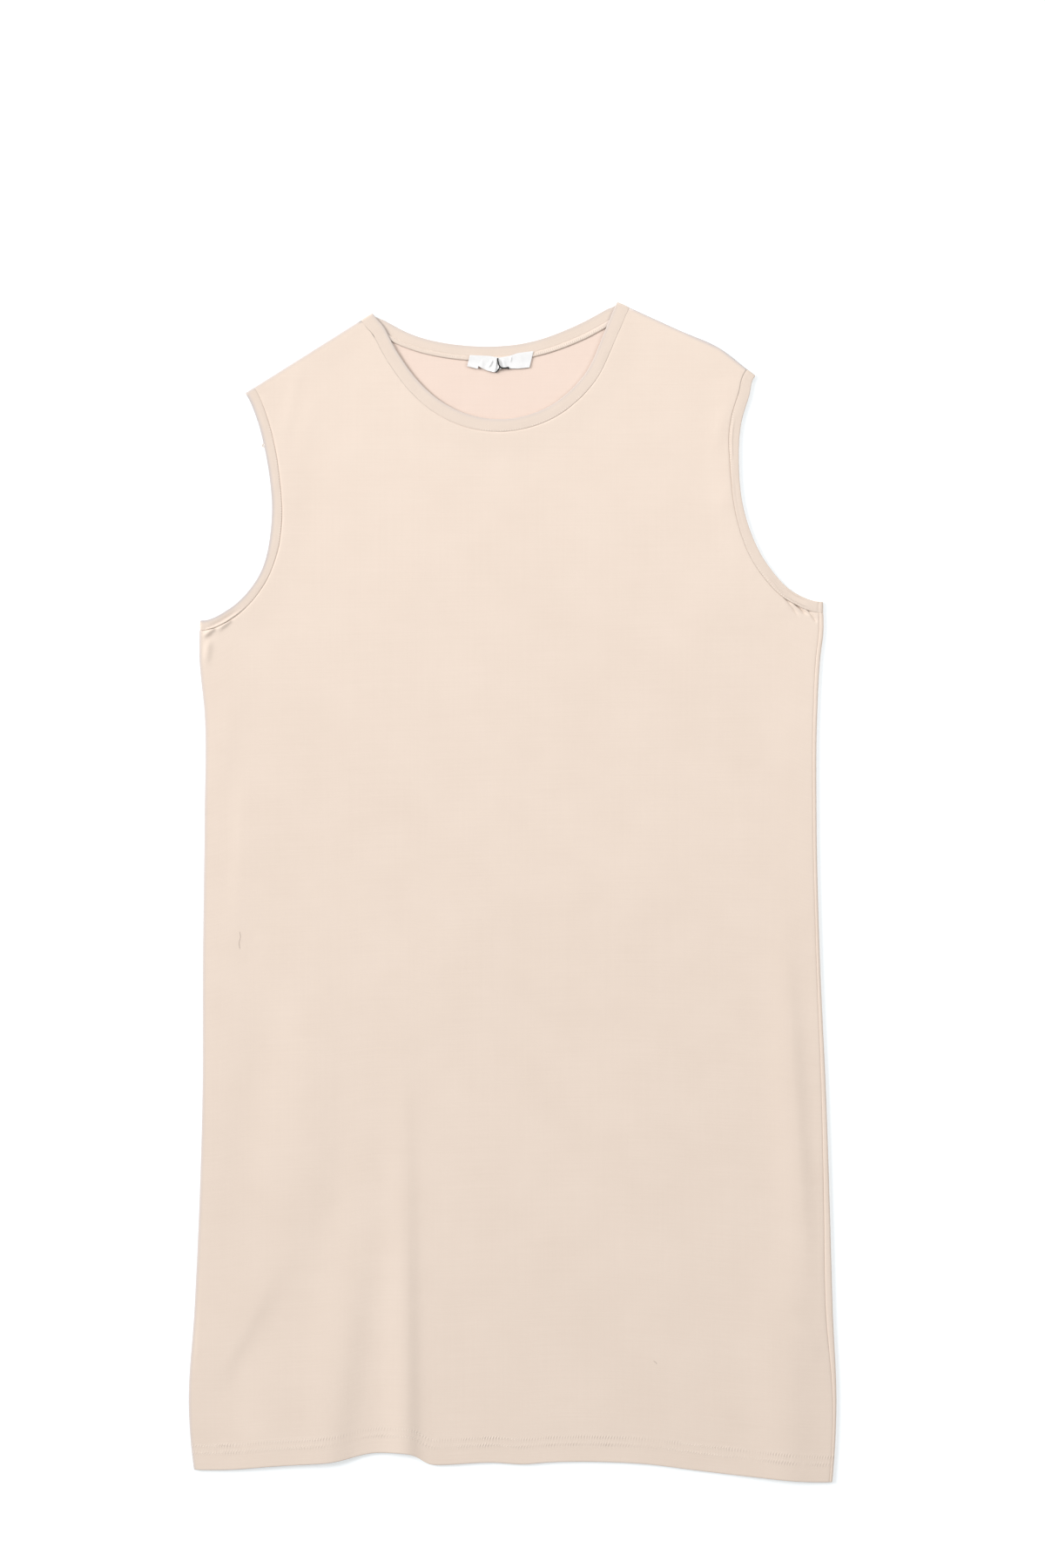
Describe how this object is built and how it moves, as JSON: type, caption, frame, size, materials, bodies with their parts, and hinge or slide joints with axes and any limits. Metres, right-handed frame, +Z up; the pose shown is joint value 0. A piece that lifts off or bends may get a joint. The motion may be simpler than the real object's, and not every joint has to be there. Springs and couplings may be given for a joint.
{
  "type": "tunic top",
  "caption": "Long sleeveless tunic top in plain beige jersey, laid flat with its front up, with a scooped neck, bound neck and armholes, and a turned-up hem.",
  "frame": {"origin": "under the middle of the garment's bounding box, on the surface that it lies on", "axes": "+X to the right as the front is seen from above, +Y from hem to neck, +Z up from the surface, out of the front"},
  "size_m": [0.5197, 0.9474, 0.0063],
  "materials": {
    "jersey_front": "matt beige single jersey",
    "jersey_back": "matt beige single jersey, seen from inside at the neck",
    "jersey_neckband": "matt beige single jersey, doubled",
    "jersey_armband": "matt beige single jersey, doubled",
    "label_satin": "white woven satin, bare"
  },
  "bodies": {
    "root": {"front_panel": "jersey_front", "back_panel": "jersey_back", "neckband": "jersey_neckband", "armhole_band_left": "jersey_armband", "armhole_band_right": "jersey_armband", "neck_label": "label_satin"}
  },
  "joints": []
}
